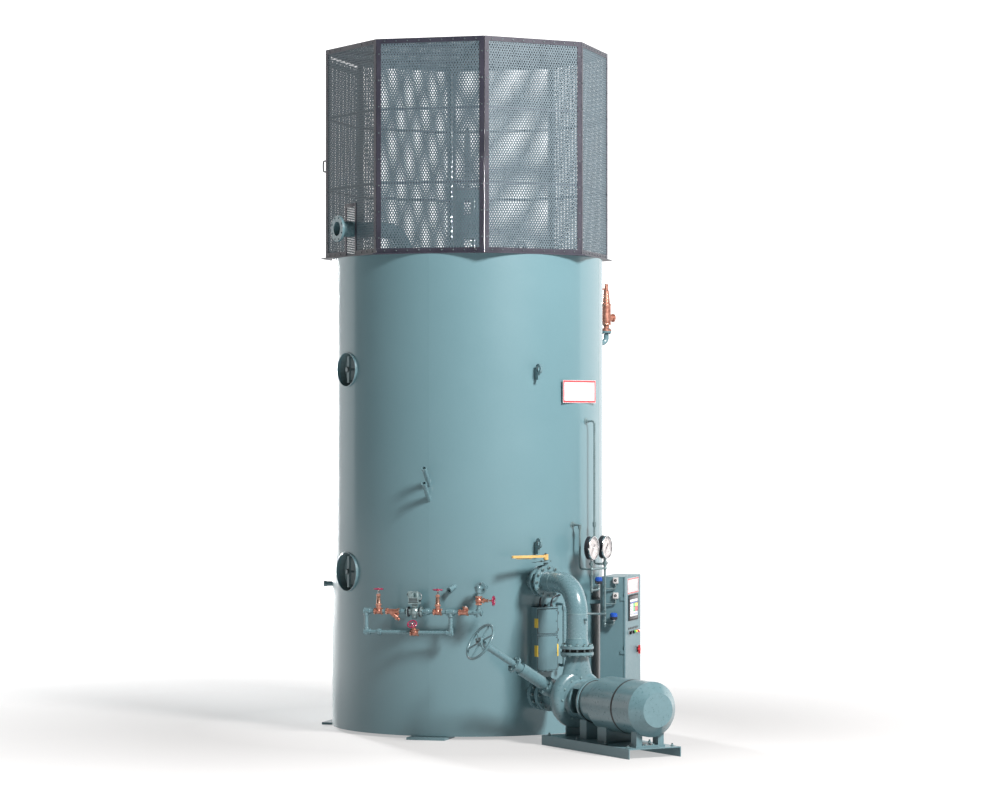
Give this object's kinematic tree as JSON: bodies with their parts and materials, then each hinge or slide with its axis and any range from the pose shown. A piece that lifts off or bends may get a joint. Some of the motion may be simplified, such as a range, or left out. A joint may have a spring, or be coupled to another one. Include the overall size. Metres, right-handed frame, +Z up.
{
  "type": "industrial electrode boiler",
  "caption": "Tall round electrode boiler with an octagonal mesh cage on top, pump set on a skid, feed valve train, gauges and a control cabinet.",
  "frame": {"origin": "on the vessel's vertical axis at floor level, the centre of the four anchor bolt holes", "axes": "+Z up; -Y is the front, where the pump skid runs out; the steam outlet points along -X"},
  "size_m": [3.5134, 5.3424, 7.359],
  "materials": {
    "cladding": "satin blue-grey enamel",
    "machinery_paint": "satin blue-grey enamel",
    "cage_paint": "satin purple-grey enamel",
    "cage_mesh": "satin grey-blue perforated sheet",
    "bronze": "cast bronze, machined edges",
    "wheel_red": "gloss red enamel",
    "lever_yellow": "gloss yellow enamel",
    "sign_white": "gloss white",
    "gauge_black": "black case, steel ring, white dial",
    "sensor_blue": "blue caps",
    "rubber_black": "black",
    "control_black": "black",
    "valve_steel": "grey casting with steel parts",
    "shell_steel": "primed plate",
    "porcelain": "glazed grey insulator"
  },
  "bodies": {
    "vessel": {"casing_front": "cladding", "casing_right": "cladding", "casing_back": "cladding", "casing_left": "cladding", "lifting_lugs": "machinery_paint", "casing_nozzles": "machinery_paint", "steam_outlet": "machinery_paint", "electrode_turret": "machinery_paint", "anchor_feet": "machinery_paint", "pump_nozzles": "machinery_paint", "discharge_pipe": "machinery_paint", "butterfly_valve": "machinery_paint", "suction_spool": "machinery_paint", "suction_valve": "machinery_paint", "pump_volute": "machinery_paint", "pump_bracket": "machinery_paint", "pump_motor": "machinery_paint", "pump_skid": "machinery_paint", "feed_pipes": "machinery_paint", "gauge_piping": "machinery_paint", "cabinet_plinth": "machinery_paint", "cabinet_body": "machinery_paint", "junction_box": "machinery_paint", "side_pipe": "machinery_paint", "pressure_shell": "shell_steel", "shell_heads": "shell_steel", "manways": "shell_steel", "deck_plate": "cage_paint", "cage_posts": "cage_paint", "cage_rails": "cage_paint", "roof_beam": "cage_paint", "roof_ribs": "cage_paint", "cage_panels": "cage_mesh", "slotted_panel": "cage_mesh", "cage_door": "cage_mesh", "roof_mesh": "cage_mesh", "safety_valve": "bronze", "gate_valves": "bronze", "strainer": "bronze", "bypass_valve": "bronze", "check_valve": "bronze", "stop_valve": "bronze", "casing_sign": "sign_white", "pressure_gauges": "gauge_black", "pressure_sensors": "sensor_blue", "flexible_joint": "rubber_black", "control_valve": "valve_steel", "electrode_bushing": "porcelain"},
    "cabinet_door": {"cabinet_door": "machinery_paint", "door_controls": "control_black"},
    "isolator_handle": {"isolator_handle": "control_black"},
    "valve_lever": {"valve_lever": "lever_yellow"},
    "suction_handwheel": {"suction_handwheel": "machinery_paint"},
    "gate_wheel_left": {"gate_wheel_left": "wheel_red"},
    "gate_wheel_right": {"gate_wheel_right": "wheel_red"},
    "bypass_wheel": {"bypass_wheel": "wheel_red"},
    "stop_wheel": {"stop_wheel": "wheel_red"}
  },
  "joints": [
    {"name": "cabinet_door_hinge", "type": "hinge", "parent": "vessel", "child": "cabinet_door", "pos_m": [1.04298, -1.562, 0.88], "axis": [0, 0, -1], "range_deg": [0, 110]},
    {"name": "isolator_turn", "type": "hinge", "parent": "cabinet_door", "child": "isolator_handle", "pos_m": [1.45805, -1.18935, 0.866], "axis": [0.7071, -0.7071, 0], "range_deg": [-90, 0]},
    {"name": "butterfly_lever", "type": "hinge", "parent": "vessel", "child": "valve_lever", "pos_m": [0, -1.688, 1.92], "axis": [0, 0, 1], "range_deg": [0, 90]},
    {"name": "suction_wheel_turn", "type": "hinge", "parent": "vessel", "child": "suction_handwheel", "pos_m": [-0.98096, -2.033, 1.07619], "axis": [-0.853, 0, 0.5219], "continuous": true},
    {"name": "gate_wheel_left_turn", "type": "hinge", "parent": "vessel", "child": "gate_wheel_left", "pos_m": [-1.50402, -0.78701, 1.574], "axis": [0, 0, 1], "continuous": true},
    {"name": "gate_wheel_right_turn", "type": "hinge", "parent": "vessel", "child": "gate_wheel_right", "pos_m": [-1.04723, -1.2438, 1.574], "axis": [0, 0, 1], "continuous": true},
    {"name": "bypass_wheel_turn", "type": "hinge", "parent": "vessel", "child": "bypass_wheel", "pos_m": [-1.29171, -1.13332, 1.21875], "axis": [-0.5, -0.5, 0.7071], "continuous": true},
    {"name": "stop_wheel_turn", "type": "hinge", "parent": "vessel", "child": "stop_wheel", "pos_m": [-0.62013, -1.67089, 1.469], "axis": [0.7071, -0.7071, 0], "continuous": true}
  ]
}
